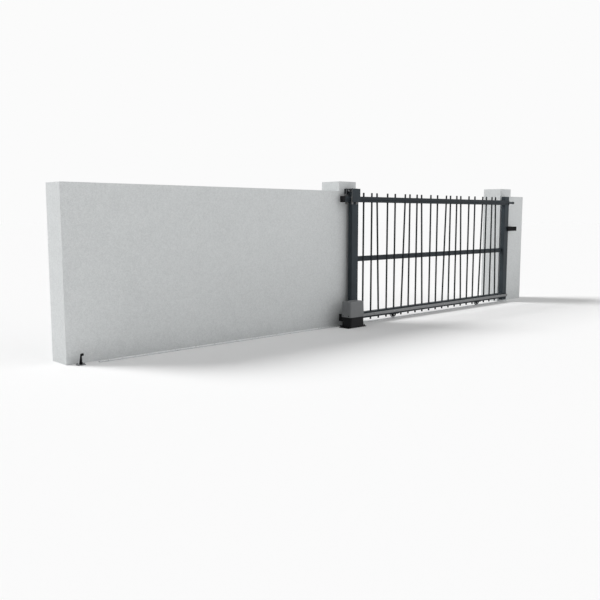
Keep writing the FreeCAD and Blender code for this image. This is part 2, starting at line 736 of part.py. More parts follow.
masonry()
ground_rail()
leaf_frame()
bars()
carriage("rear")
carriage("front")
top_guide()
closing_catch()
open_stop()
gear_rack()
drive_unit()
doc.recompute()

for feature in doc.Objects:
    if "Invalid" in feature.State or "Error" in feature.State:
        raise RuntimeError(f"{feature.Label} failed: {feature.State}")
for feature in nodes:
    if feature.Shape.isNull() or not feature.Shape.isValid() or not feature.Shape.Solids:
        raise RuntimeError(f"{feature.Label} has no valid solid")

os.makedirs("parts", exist_ok=True)
for feature in nodes:
    feature.Shape.exportStep(f"parts/{feature.Label}.step")
print(len(nodes), "nodes written")
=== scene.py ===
import json
import math

import bmesh
import bpy
from bpy.props import FloatProperty, FloatVectorProperty, PointerProperty
from mathutils import Euler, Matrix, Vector


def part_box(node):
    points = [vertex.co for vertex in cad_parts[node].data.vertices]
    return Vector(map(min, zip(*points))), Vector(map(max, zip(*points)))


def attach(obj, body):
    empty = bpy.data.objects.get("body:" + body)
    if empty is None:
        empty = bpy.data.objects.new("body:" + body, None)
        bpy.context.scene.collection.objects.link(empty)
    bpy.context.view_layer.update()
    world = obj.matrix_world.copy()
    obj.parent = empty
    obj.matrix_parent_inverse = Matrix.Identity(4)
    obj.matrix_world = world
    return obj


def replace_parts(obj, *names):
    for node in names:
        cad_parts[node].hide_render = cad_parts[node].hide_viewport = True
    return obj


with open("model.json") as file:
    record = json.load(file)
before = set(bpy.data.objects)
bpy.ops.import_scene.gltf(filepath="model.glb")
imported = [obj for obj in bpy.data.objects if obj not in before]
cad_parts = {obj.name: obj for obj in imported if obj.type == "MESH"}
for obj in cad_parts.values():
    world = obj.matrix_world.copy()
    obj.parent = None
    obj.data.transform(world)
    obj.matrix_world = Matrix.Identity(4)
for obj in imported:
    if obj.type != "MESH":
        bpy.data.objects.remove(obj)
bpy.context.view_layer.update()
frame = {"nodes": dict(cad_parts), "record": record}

bl_info = {
    "name": "Sliding gate finish",
    "version": (1, 0, 0),
    "blender": (4, 5, 0),
    "location": "View3D > Sidebar > Gate",
    "description": "Dresses a sliding driveway gate: rendered masonry, painted leaf, fasteners and drive",
    "category": "Object",
}

SAME_POINT = 1e-6
FLAT = math.radians(1)
SHARP = math.radians(30)


def colour(name, about, value):
    return FloatVectorProperty(name=name, description=about, subtype="COLOR", size=3, min=0, max=1,
                               default=value)


def length(name, about, value):
    return FloatProperty(name=name, description=about, unit="LENGTH", min=0, default=value)


def direction(name, about, value):
    return FloatVectorProperty(name=name, description=about, subtype="DIRECTION", default=value)


def angle(name, about, degrees):
    return FloatProperty(name=name, description=about, unit="ROTATION", default=math.radians(degrees))


def brightness(name, about, value):
    return FloatProperty(name=name, description=about, min=0, default=value)


def millimetres(name, about, value):
    return FloatProperty(name=name, description=about, unit="CAMERA", default=value)


class MasonryLook(bpy.types.PropertyGroup):
    """Rendered wall and pillars."""

    tone: colour("Render", "Colour of the cement render", (0.738, 0.758, 0.761))
    # The mottle is partly random tone and partly painted shade. It follows the stipple of the bump, so the
    # hollows of the coat come out darker.
    shade: colour("Mottle", "Darker tone in the hollows", (0.599, 0.618, 0.621))
    arris: length("Arris", "Radius of the rounded outer edges", 0.0035)
    grain: length("Grain", "Size of the sand grains on the face", 0.003)
    stipple: length("Stipple", "Width of the lumps of the sprayed coat", 0.0095)
    float_mark: length("Float mark", "Width of the marks that the float leaves", 0.027)
    swirl: length("Swirl", "Width of the swirls between them", 0.14)
    cloud: length("Cloud", "Width of the faint clouds on a wall", 1.1)
    relief: length("Relief", "Depth of the sprayed coat", 0.0065)


class LeafLook(bpy.types.PropertyGroup):
    """Painted steel of the leaf and its guide."""

    paint: colour("Paint", "Anthracite powder coat of the stiles and the guide", (0.026, 0.0335, 0.0395))
    # Painted shade: the rails and the beam get a deeper copy of the leaf's powder coat. It stands in for
    # the bars' shadows on the mid rail and the shaded lower band of the top rail.
    rail_shade_paint: colour("Rail shade paint", "Deeper tone on the rails", (0.0165, 0.0215, 0.026))
    bar_paint: colour("Bar paint", "Deepest tone, on the infill bars", (0.008, 0.0105, 0.0125))
    black: colour("Black paint", "Paint of the catch, stop and carriages", (0.003, 0.003, 0.0034))
    peel: length("Orange peel", "Width of the ripples in the coat", 0.0016)
    bead: length("Weld bead", "Radius of a weld bead", 0.0026)
    bar_crown: length("Bar crown", "Rise of a bar's rounded top", 0.004)
    plate_edge: length("Plate edge", "Round on the edges of cut plates", 0.0009)


class MetalLook(bpy.types.PropertyGroup):
    """Bare metal, nylon and rubber."""

    rack_zinc: colour("Rack zinc", "Dulled zinc of the gear rack", (0.19, 0.195, 0.2))
    rail_zinc: colour("Rail zinc", "Pale zinc of the ground rail", (0.46, 0.468, 0.475))
    steel: colour("Steel", "Plated or machined steel", (0.3, 0.306, 0.314))
    spangle: length("Spangle", "Width of a zinc crystal", 0.014)
    nylon: colour("Nylon", "Guide rollers", (0.23, 0.23, 0.226))
    rubber: colour("Rubber", "Buffer, pin tip and end caps", (0.009, 0.009, 0.0098))


class DriveLook(bpy.types.PropertyGroup):
    """The drive's housing."""

    cover: colour("Cover", "Moulded cover", (0.153, 0.158, 0.163))
    base: colour("Base", "Black casting under the cover", (0.0085, 0.0085, 0.0095))
    texture: length("Texture", "Width of the moulded texture", 0.0012)


class FastenerSizes(bpy.types.PropertyGroup):
    """Bolts and anchors."""

    anchor_flats: length("Anchor flats", "Across the flats of an anchor nut", 0.019)
    axle_flats: length("Axle flats", "Across the flats of an axle's nut", 0.02204)
    bolt_flats: length("Bolt flats", "Across the flats of a bolt's head", 0.015)
    rack_flats: length("Rack flats", "Across the flats of a rack bolt's head", 0.0135)
    screw_flats: length("Screw flats", "Across the flats of a rail or cover screw", 0.01)
    screw_pitch: length("Screw pitch", "Distance between rail screws on one side", 0.9)


class StageLook(bpy.types.PropertyGroup):
    """Floor, light and camera."""

    floor: colour("Floor", "Pale floor", (0.93, 0.93, 0.93))
    backdrop: brightness("Backdrop", "Brightness behind the object", 0.965)
    sky: brightness("Sky", "Soft light from all round", 0.37)
    key: brightness("Key", "Light from behind the wall", 2.4)
    key_from: direction("Key from", "Direction that the key light comes from", (-0.42, 0.58, 0.7))
    key_spread: angle("Key spread", "Width of the key light in the sky", 24)
    fill: brightness("Fill", "Light from the front right", 0.74)
    fill_from: direction("Fill from", "Direction that the fill light comes from", (0.45, -0.7, 0.55))
    fill_spread: angle("Fill spread", "Width of the fill light in the sky", 70)
    eye: FloatVectorProperty(name="Eye", description="Place of the camera", subtype="TRANSLATION",
                             default=(-7.939, -7.586, 1.635))
    yaw: angle("Yaw", "Camera's turn from straight ahead", 43.21)
    pitch: angle("Pitch", "Camera's tilt down", 6.694)
    lens: millimetres("Lens", "Focal length", 43.07)
    sensor: millimetres("Sensor", "Width of the camera's frame", 36.0)


LOOKS = {
    "gate_masonry": MasonryLook,
    "gate_leaf": LeafLook,
    "gate_metal": MetalLook,
    "gate_drive": DriveLook,
    "gate_fasteners": FastenerSizes,
    "gate_stage": StageLook,
}


def look(name):
    return getattr(bpy.context.scene, name)


class Wire:
    """A socket of a node tree. Arithmetic on it adds Math nodes."""

    def __init__(self, wiring, socket):
        self.wiring = wiring
        self.socket = socket

    def sum(self, operation, first, second):
        return self.wiring.add("ShaderNodeMath", {"operation": operation}, {0: first, 1: second})

    def __add__(self, other):
        return self.sum("ADD", self, other)

    def __sub__(self, other):
        return self.sum("SUBTRACT", self, other)

    def __rsub__(self, other):
        return self.sum("SUBTRACT", other, self)

    def __mul__(self, other):
        return self.sum("MULTIPLY", self, other)

    def __truediv__(self, other):
        return self.sum("DIVIDE", self, other)

    __radd__ = __add__
    __rmul__ = __mul__


class Wiring:
    """A node tree that is being built."""

    def __init__(self, tree):
        self.tree = tree

    def add(self, kind, settings=None, inputs=None, output=0):
        """Add a node: its settings first, then values or wires for its sockets."""
        node = self.tree.nodes.new(kind)
        for name, setting in (settings or {}).items():
            setattr(node, name, setting)
        for name, content in (inputs or {}).items():
            if isinstance(content, Wire):
                self.tree.links.new(content.socket, node.inputs[name])
            else:
                node.inputs[name].default_value = content
        return None if output is None else Wire(self, node.outputs[output])


class Finish(Wiring):
    """A material whose patterns lie on Object coordinates."""

    def __init__(self, name):
        self.material = bpy.data.materials.new(name)
        self.material.use_nodes = True
        super().__init__(self.material.node_tree)
        self.tree.nodes.clear()
        self.place = self.add("ShaderNodeTexCoord", output="Object")

    def noise(self, width, detail=2.0, roughness=0.5, distortion=0.0):
        """Noise whose lumps are about as wide as given."""
        sockets = {"Vector": self.place, "Scale": 1 / width, "Detail": detail, "Roughness": roughness,
                   "Distortion": distortion}
        return self.add("ShaderNodeTexNoise", {}, sockets, "Fac")

    def span(self, value, low, high):
        """A value's share of the way from low to high, kept between 0 and 1."""
        return self.add("ShaderNodeMapRange", {"clamp": True},
                        {"Value": value, "From Min": low, "From Max": high})

    def blend(self, factor, first, second):
        """A colour between two others."""
        ends = [end if isinstance(end, Wire) else (*end, 1) for end in (first, second)]
        return self.add("ShaderNodeMix", {"data_type": "RGBA"}, {0: factor, 6: ends[0], 7: ends[1]}, 2)

    def bump(self, height, depth):
        return self.add("ShaderNodeBump", {}, {"Distance": depth, "Height": height}, "Normal")

    def height(self):
        return self.add("ShaderNodeSeparateXYZ", {}, {"Vector": self.place}, "Z")

    def surface(self, **sockets):
        """Finish the material with one shader; socket names use _ for a space."""
        inputs = {name.replace("_", " ").title().replace("Ior", "IOR"): content
                  for name, content in sockets.items()}
        shader = self.add("ShaderNodeBsdfPrincipled", {}, inputs, "BSDF")
        self.add("ShaderNodeOutputMaterial", {}, {"Surface": shader}, None)
        return self.material


def finish(name, make):
    """The material of that name, made on first use."""
    return bpy.data.materials.get(name) or make(Finish(name))


def render_coat(f):
    """Sprayed cement render: sandy lumps, faint clouds, a random mottle that is also painted shade in the
    hollows of the coat, and painted shade darkening the foot.
    """
    masonry = look("gate_masonry")
    sand = f.noise(masonry.grain, 2, 0.7)
    stipple = f.noise(masonry.stipple, 3, 0.62)
    float_mark = f.noise(masonry.float_mark, 1.5, 0.5)
    swirl = f.noise(masonry.swirl, 3, 0.6, 0.6)
    cloud = f.noise(masonry.cloud, 3, 0.5)
    # Painted shade: the render grows darker towards the foot, where shade falls near the ground.
    foot_shade = f.span(f.height() + swirl * 0.16, 0.34, 0.02) * 0.1
    # Mottle: random tone, and painted shade where the stipple of the bump is low, so the hollows come out
    # darker.
    grain = stipple * 0.5 + float_mark * 0.2 + sand * 0.1 + swirl * 0.1 + cloud * 0.1
    mottle_and_hollow_shade = f.span(grain - foot_shade, 0.34, 0.59)
    return f.surface(
        base_color=f.blend(mottle_and_hollow_shade, masonry.shade, masonry.tone),
        roughness=sand * 0.1 + 0.84,
        specular_ior_level=0.25,
        normal=f.bump(sand * 0.2 + stipple * 0.8, masonry.relief),
    )


def lightened(tone, factor):
    return [channel * factor for channel in tone]


def satin(f, tone):
    """Satin powder coat with orange peel and slight clouding."""
    peel = f.noise(look("gate_leaf").peel, 1.5, 0.4)
    cloud = f.span(f.noise(0.22, 3, 0.6), 0.35, 0.65)
    return f.surface(
        base_color=f.blend(cloud, tone, lightened(tone, 1.35)),
        roughness=cloud * 0.1 + peel * 0.08 + 0.42,
        specular_ior_level=0.16,
        normal=f.bump(peel, 0.00018),
    )


def powder_coat(f):
    return satin(f, look("gate_leaf").paint)


# Painted shade: the leaf's powder coat in a deeper tone, for the rails, the beam and the bar welds.
def rail_shade_coat(f):
    return satin(f, look("gate_leaf").rail_shade_paint)


def bar_coat(f):
    return satin(f, look("gate_leaf").bar_paint)


def black_paint(f):
    """Matt black brushed paint."""
    leaf = look("gate_leaf")
    grain = f.noise(0.003, 3, 0.6)
    cloud = f.span(f.noise(0.05, 3, 0.6), 0.3, 0.7)
    return f.surface(
        base_color=f.blend(cloud, leaf.black, lightened(leaf.black, 2.0)),
        roughness=cloud * 0.12 + 0.5,
        specular_ior_level=0.05,
        normal=f.bump(grain, 0.0002),
    )


def zinc(f, tone, polish=None):
    """Hot-dip zinc: flat crystals of slightly different greys, bright where it is polished."""
    spangle = look("gate_metal").spangle
    crystal = f.add("ShaderNodeTexVoronoi", {}, {"Vector": f.place, "Scale": 1 / spangle}, "Color")
    grey = f.add("ShaderNodeSeparateColor", {}, {"Color": crystal}, "Red")
    dull = f.span(f.noise(0.06, 4, 0.6), 0.3, 0.7)
    grit = f.noise(0.002, 2, 0.6)
    skin = f.blend(grey * 0.7 + dull * 0.3, tone, lightened(tone, 1.35))
    rough = grey * 0.14 + dull * 0.1 + 0.36
    if polish is not None:
        skin = f.blend(polish, skin, lightened(tone, 1.5))
        rough = rough - polish * 0.16
    return f.surface(
        base_color=skin,
        metallic=0.5,
        roughness=rough,
        normal=f.bump(grit + grey * 0.4, 0.00012),
    )


def rack_zinc(f):
    return zinc(f, look("gate_metal").rack_zinc)


def rail_zinc(f):
    """The rail's zinc, run bright by the wheels along its crown."""
    crown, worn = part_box("ground_rail")[1].z, 0.003
    run = f.span(f.height() + f.noise(0.05, 3, 0.6) * worn, crown - worn, crown)
    return zinc(f, look("gate_metal").rail_zinc, run)


def bright_steel(f):
    """Machined or plated steel of axles, teeth and bolts."""
    metal = look("gate_metal")
    scratch = f.noise(0.0015, 3, 0.7, 0.4)
    film = f.span(f.noise(0.03, 3, 0.6), 0.3, 0.7)
    return f.surface(
        base_color=f.blend(film, metal.steel, lightened(metal.steel, 1.35)),
        metallic=0.85,
        roughness=scratch * 0.14 + film * 0.1 + 0.28,
        normal=f.bump(scratch, 0.00008),
    )


def nylon_skin(f):
    """Turned nylon with fine tool rings and a rolled grey track."""
    metal = look("gate_metal")
    soil = f.span(f.noise(0.02, 3, 0.6), 0.35, 0.7)
    rings = f.add("ShaderNodeTexWave", {"bands_direction": "Z"},
                  {"Vector": f.place, "Scale": 260.0, "Distortion": 0.6}, "Fac")
    return f.surface(
        base_color=f.blend(soil, metal.nylon, lightened(metal.nylon, 0.75)),
        roughness=soil * 0.12 + 0.4,
        specular_ior_level=0.25,
        normal=f.bump(rings, 0.00006),
    )


def rubber_skin(f):
    """Moulded black rubber."""
    metal = look("gate_metal")
    grain = f.noise(0.0012, 3, 0.6)
    bloom = f.span(f.noise(0.025, 3, 0.6), 0.35, 0.7)
    return f.surface(
        base_color=f.blend(bloom, metal.rubber, lightened(metal.rubber, 1.9)),
        roughness=bloom * 0.1 + 0.68,
        specular_ior_level=0.12,
        normal=f.bump(grain, 0.00015),
    )


def cover_skin(f):
    """Moulded plastic with a fine etched texture."""
    drive = look("gate_drive")
    etch = f.noise(drive.texture, 2, 0.6)
    cloud = f.span(f.noise(0.08, 3, 0.6), 0.3, 0.7)
    return f.surface(
        base_color=f.blend(cloud, drive.cover, lightened(drive.cover, 1.12)),
        roughness=cloud * 0.08 + etch * 0.08 + 0.46,
        normal=f.bump(etch, 0.00014),
    )


def casting_skin(f):
    """Black coated casting with a sandy face."""
    drive = look("gate_drive")
    sand = f.noise(0.0018, 3, 0.65)
    cloud = f.span(f.noise(0.06, 3, 0.6), 0.3, 0.7)
    return f.surface(
        base_color=f.blend(cloud, drive.base, lightened(drive.base, 1.5)),
        roughness=cloud * 0.1 + 0.52,
        specular_ior_level=0.15,
        normal=f.bump(sand, 0.0004),
    )


FINISHES = {
    "render": ("cement_render", render_coat),
    "anthracite": ("anthracite_powder_coat", powder_coat),
    "rail_shade_coat": ("rail_powder_coat", rail_shade_coat),
    "bar_coat": ("bar_powder_coat", bar_coat),
    "dark_steel": ("black_paint", black_paint),
    "rack_zinc": ("rack_zinc", rack_zinc),
    "rail_zinc": ("rail_zinc", rail_zinc),
    "bright": ("bright_steel", bright_steel),
    "nylon": ("turned_nylon", nylon_skin),
    "black_rubber": ("moulded_rubber", rubber_skin),
    "cover_plastic": ("drive_cover_plastic", cover_skin),
    "base_casting": ("drive_base_casting", casting_skin),
}


def coat(slot):
    return finish(*FINISHES[slot])


def dress(slot, *nodes):
    """Give packed sub-parts their finish."""
    for node in nodes:
        slots = frame["nodes"][node].data.materials
        slots.clear()
        slots.append(coat(slot))


def body_of(node):
    bodies = frame["record"]["behaviour"]["bodies"]
    return next(body for body, members in bodies.items() if node in members)


def piece(name, mesh, body, slot):
    """Put a finished mesh in the scene, on a body."""
    thing = bpy.data.objects.new(name, mesh)
    bpy.context.scene.collection.objects.link(thing)
    if not mesh.materials:
        mesh.materials.append(coat(slot))
    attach(thing, body)
    return thing


def solids(node):
    """The corner points of each separate solid in a packed sub-part."""
    work = bmesh.new()
    work.from_mesh(frame["nodes"][node].data)
    bmesh.ops.remove_doubles(work, verts=work.verts, dist=SAME_POINT)
    left = set(work.verts)
    found = []
    while left:
        stack = [left.pop()]
        island = []
        while stack:
            vert = stack.pop()
            island.append(vert.co.copy())
            near = {edge.other_vert(vert) for edge in vert.link_edges} & left
            left -= near
            stack.extend(near)
        found.append(island)
    work.free()
    return sorted(found, key=lambda island: min(point.x for point in island))


def middle(points):
    return sum(points, Vector()) / len(points)


def eased(slot, *nodes, record_slot=None):
    """Stand in for cut plates with copies whose outer edges are slightly rounded."""
    for node in nodes:
        work = bmesh.new()
        work.from_mesh(frame["nodes"][node].data)
        bmesh.ops.remove_doubles(work, verts=work.verts, dist=SAME_POINT)
        bmesh.ops.dissolve_limit(work, angle_limit=FLAT, verts=work.verts, edges=work.edges)
        outer = [edge for edge in work.edges if edge.is_convex and edge.calc_face_angle(0) > SHARP]
        bmesh.ops.bevel(work, geom=outer, offset=look("gate_leaf").plate_edge, offset_type="OFFSET",
                        segments=2, profile=0.5, affect="EDGES", clamp_overlap=True)
        name = node + "_eased"
        mesh = bpy.data.meshes.new(name)
        work.to_mesh(mesh)
        work.free()
        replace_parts(piece(name, mesh, body_of(node), slot), node)


class Shape(Wiring):
    """A Geometry Nodes tree with named inputs that ends in one material."""

    def __init__(self, name, **sizes):
        super().__init__(bpy.data.node_groups.new(name, "GeometryNodeTree"))
        interface = self.tree.interface
        interface.new_socket("Geometry", in_out="INPUT", socket_type="NodeSocketGeometry")
        interface.new_socket("Geometry", in_out="OUTPUT", socket_type="NodeSocketGeometry")
        for label, default in sizes.items():
            socket = interface.new_socket(label, in_out="INPUT", socket_type="NodeSocketFloat")
            socket.default_value = default
        interface.new_socket("material", in_out="INPUT", socket_type="NodeSocketMaterial")
        self.inputs = self.tree.nodes.new("NodeGroupInput")

    def ask(self, label):
        return Wire(self, self.inputs.outputs[label])

    def attribute(self, name, data_type):
        return self.add("GeometryNodeInputNamedAttribute", {"data_type": data_type}, {"Name": name},
                        "Attribute")

    def vector(self, x=0.0, y=0.0, z=0.0):
        return self.add("ShaderNodeCombineXYZ", {}, {"X": x, "Y": y, "Z": z})

    def lifted(self, geometry, height):
        return self.add("GeometryNodeTransform", {},
                        {"Geometry": geometry, "Translation": self.vector(z=height)})

    def circle(self, sides, radius):
        return self.add("GeometryNodeCurvePrimitiveCircle", {}, {"Resolution": sides, "Radius": radius},
                        "Curve")

    def placed(self, instance):
        """A copy of a shape at each point, facing as the point says."""
        facing = self.add("FunctionNodeAlignRotationToVector", {"axis": "Z"},
                          {"Vector": self.attribute("facing", "FLOAT_VECTOR")})
        return self.add("GeometryNodeInstanceOnPoints", {},
                        {"Points": self.ask("Geometry"), "Instance": instance, "Rotation": facing})

    def drum(self, sides, radius, depth, foot, top_radius=None):
        """An upright prism or cone that stands at a height."""
        if top_radius is None:
            body = self.add("GeometryNodeMeshCylinder", {"fill_type": "NGON"},
                            {"Vertices": sides, "Radius": radius, "Depth": depth}, "Mesh")
            return self.lifted(body, foot + depth / 2)
        sizes = {"Vertices": sides, "Radius Top": top_radius, "Radius Bottom": radius, "Depth": depth}
        body = self.add("GeometryNodeMeshCone", {"fill_type": "NGON"}, sizes, "Mesh")
        return self.lifted(body, foot)

    def join(self, *parts):
        node = self.tree.nodes.new("GeometryNodeJoinGeometry")
        for part in parts:
            self.tree.links.new(part.socket, node.inputs[0])
        return Wire(self, node.outputs[0])

    def ripple(self, geometry, width, depth):
        """Push points about at random, as a weld's surface is uneven."""
        noise = self.add("ShaderNodeTexNoise", {}, {"Scale": 1 / width, "Detail": 1.0}, "Color")
        centred = self.add("ShaderNodeVectorMath", {"operation": "SUBTRACT"},
                           {0: noise, 1: (0.5, 0.5, 0.5)})
        offset = self.add("ShaderNodeVectorMath", {"operation": "SCALE"}, {0: centred, "Scale": depth})
        return self.add("GeometryNodeSetPosition", {}, {"Geometry": geometry, "Offset": offset})

    def end(self, geometry, smooth):
        """Realize, shade and paint the result."""
        solid = self.add("GeometryNodeRealizeInstances", {}, {"Geometry": geometry})
        shaded = self.add("GeometryNodeSetShadeSmooth", {}, {"Geometry": solid, "Shade Smooth": smooth})
        painted = self.add("GeometryNodeSetMaterial", {},
                           {"Geometry": shaded, "Material": self.ask("material")})
        self.add("NodeGroupOutput", {}, {0: painted}, None)
        return self.tree


def bolt_tree():
    """Hex heads or nuts on washers, one at each point, facing as the point says."""
    s = Shape("hex_fasteners", flats=0.015, head=0.009, washer=0.012, washer_thickness=0.002, stud=0.004,
              stud_reach=0.0)
    corner = s.ask("flats") / math.sqrt(3)
    seat, head = s.ask("washer_thickness"), s.ask("head")
    chamfer, crown = head * 0.14, corner * 0.86
    washer_sides, hexagon, stud_sides = 28, 6, 16
    parts = [
        s.drum(washer_sides, s.ask("washer"), seat, 0.0),
        s.drum(hexagon, corner, head - chamfer, seat),
        s.drum(hexagon, corner, chamfer, seat + head - chamfer, crown),
        s.drum(stud_sides, s.ask("stud"), s.ask("stud_reach") + head * 0.5, seat + head * 0.55),
    ]
    spin = s.add("FunctionNodeRandomValue", {"data_type": "FLOAT"}, {2: 0.0, 3: math.tau, "Seed": 7}, 1)
    turned = s.add("GeometryNodeRotateInstances", {},
                   {"Instances": s.placed(s.join(*parts)), "Rotation": s.vector(z=spin)})
    return s.end(turned, False)


def path_tree():
    """A round bar along each line of points, as wide at each point as it says."""
    s = Shape("bars_along_lines", radius=0.0135)
    lines = s.add("GeometryNodeMeshToCurve", {}, {"Mesh": s.ask("Geometry")})
    rods = s.add("GeometryNodeCurveToMesh", {}, {
        "Curve": lines,
        "Profile Curve": s.circle(32, s.ask("radius")),
        "Scale": s.attribute("width", "FLOAT"),
        "Fill Caps": True,
    })
    return s.end(rods, True)


def seam_tree():
    """A lumpy weld bead along each line."""
    s = Shape("weld_seams", bead=0.003)
    step, lump = 0.005, 0.006
    lines = s.add("GeometryNodeMeshToCurve", {}, {"Mesh": s.ask("Geometry")})
    steps = s.add("GeometryNodeResampleCurve", {"mode": "LENGTH"}, {"Curve": lines, "Length": step})
    section = s.circle(8, s.ask("bead"))
    bead = s.add("GeometryNodeCurveToMesh", {},
                 {"Curve": steps, "Profile Curve": section, "Fill Caps": True})
    return s.end(s.ripple(bead, lump, s.ask("bead") * 0.7), True)


def ring_tree():
    """A weld bead round a bar at each point."""
    s = Shape("weld_rings", radius=0.014, bead=0.0026)
    lump = 0.007
    ring = s.add("GeometryNodeCurveToMesh", {},
                 {"Curve": s.circle(30, s.ask("radius")), "Profile Curve": s.circle(6, s.ask("bead"))})
    solid = s.add("GeometryNodeRealizeInstances", {}, {"Geometry": s.placed(ring)})
    return s.end(s.ripple(solid, lump, s.ask("bead") * 0.6), True)


TREES = {"bolts": bolt_tree, "paths": path_tree, "seams": seam_tree, "rings": ring_tree}
built_trees = {}


def tree(name):
    if name not in built_trees:
        built_trees[name] = TREES[name]()
    return built_trees[name]


def seed_mesh(name, points, edges=(), **attributes):
    """Points and lines for a tree to work on."""
    mesh = bpy.data.meshes.new(name)
    mesh.from_pydata(points, edges, [])
    for label, values in attributes.items():
        vectors = isinstance(values[0], Vector)
        layer = mesh.attributes.new(label, "FLOAT_VECTOR" if vectors else "FLOAT", "POINT")
        flat = [part for value in values for part in value] if vectors else values
        layer.data.foreach_set("vector" if vectors else "value", flat)
    return mesh


def grow(name, tree_name, seed, body, slot, record_slot=None, **sizes):
    """Run a tree on seed points and keep the result as a plain mesh on a body."""
    group = tree(tree_name)
    carrier = bpy.data.objects.new(name + "_seed", seed)
    bpy.context.scene.collection.objects.link(carrier)
    modifier = carrier.modifiers.new("shape", "NODES")
    modifier.node_group = group
    for item in group.interface.items_tree:
        if item.in_out == "INPUT" and item.name in sizes:
            modifier[item.identifier] = sizes[item.name]
        if item.in_out == "INPUT" and item.name == "material":
            modifier[item.identifier] = coat(slot)
    depsgraph = bpy.context.evaluated_depsgraph_get()
    mesh = bpy.data.meshes.new_from_object(carrier.evaluated_get(depsgraph))
    carrier.modifiers.remove(modifier)
    bpy.data.objects.remove(carrier)
    mesh.name = name
    if not mesh.polygons:
        raise RuntimeError(f"{name} came out empty")
    return piece(name, mesh, body, slot)


def bolts(name, body, places, flats, slot="bright", record_slot="galvanised", **sizes):
    """Fasteners at (point, outward direction) places, sized from the width across flats."""
    points = [Vector(point) for point, facing in places]
    facings = [Vector(facing) for point, facing in places]
    settings = {
        "flats": flats,
        "head": flats * 0.55,
        "washer": flats * 0.85,
        "washer_thickness": flats * 0.12,
        "stud": flats * 0.3,
        "stud_reach": 0.0,
        **sizes,
    }
    return grow(name, "bolts", seed_mesh(name, points, facing=facings), body, slot, record_slot, **settings)


def anchor_places(mount_name, height):
    """Bolt places of a rectangular mount, on top of its plate."""
    mount = next(m for m in frame["record"]["mounts"] if m["name"] == mount_name)
    x, y = mount["pos_m"][:2]
    across, deep = mount["dims"]["spacing_x_mm"] / 2000, mount["dims"]["spacing_y_mm"] / 2000
    return [((x + a, y + d, height), (0, 0, 1)) for a in (-across, across) for d in (-deep, deep)]


def seams(name, body, lines, slot, bead):
    """Weld beads along straight lines, each from one point to another."""
    points = [Vector(point) for line in lines for point in line]
    edges = [(2 * number, 2 * number + 1) for number in range(len(lines))]
    return grow(name, "seams", seed_mesh(name, points, edges), body, slot, bead=bead)


class GATE_OT_masonry(bpy.types.Operator):
    """Wall and pillars as two rendered masses with rounded outer edges"""

    bl_idname = "gate.masonry"
    bl_label = "Rendered masonry"

    def execute(self, context):
        self.mass("left_masonry", "boundary_wall", "left_pillar")
        self.mass("right_masonry", "return_wall", "right_pillar")
        return {"FINISHED"}

    def mass(self, name, wall, pillar):
        """One rendered mass: a wall whose front runs flush into a taller and deeper pillar."""
        (wall_low, wall_high), (low, high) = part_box(wall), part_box(pillar)
        on_left = wall_low.x < low.x
        far, joint, free = (wall_low.x, low.x, high.x) if on_left else (wall_high.x, high.x, low.x)
        front, wall_back, back = low.y, wall_high.y, high.y
        foot, wall_top, top = low.z, wall_high.z, high.z
        faces = [
            [(far, front, foot), (far, front, wall_top), (joint, front, wall_top), (joint, front, top),
             (free, front, top), (free, front, foot)],
            [(far, front, foot), (far, wall_back, foot), (far, wall_back, wall_top),
             (far, front, wall_top)],
            [(far, front, wall_top), (far, wall_back, wall_top), (joint, wall_back, wall_top),
             (joint, front, wall_top)],
            [(far, wall_back, foot), (joint, wall_back, foot), (joint, wall_back, wall_top),
             (far, wall_back, wall_top)],
            [(joint, front, wall_top), (joint, front, top), (joint, back, top), (joint, back, foot),
             (joint, wall_back, foot), (joint, wall_back, wall_top)],
            [(joint, front, top), (free, front, top), (free, back, top), (joint, back, top)],
            [(free, front, top), (free, front, foot), (free, back, foot), (free, back, top)],
            [(joint, back, foot), (free, back, foot), (free, back, top), (joint, back, top)],
            [(far, front, foot), (free, front, foot), (free, back, foot), (joint, back, foot),
             (joint, wall_back, foot), (far, wall_back, foot)],
        ]
        work = bmesh.new()
        corners = {place: work.verts.new(place) for face in faces for place in face}
        for face in faces:
            work.faces.new([corners[place] for place in face])
        bmesh.ops.recalc_face_normals(work, faces=work.faces)
        arrises = [edge for edge in work.edges
                   if edge.is_convex and max(vert.co.z for vert in edge.verts) > foot + SAME_POINT]
        bmesh.ops.bevel(work, geom=arrises, offset=look("gate_masonry").arris, offset_type="OFFSET",
                        segments=3, profile=0.5, affect="EDGES")
        mesh = bpy.data.meshes.new(name)
        work.to_mesh(mesh)
        work.free()
        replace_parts(piece(name, mesh, body_of(wall), "render"), wall, pillar)


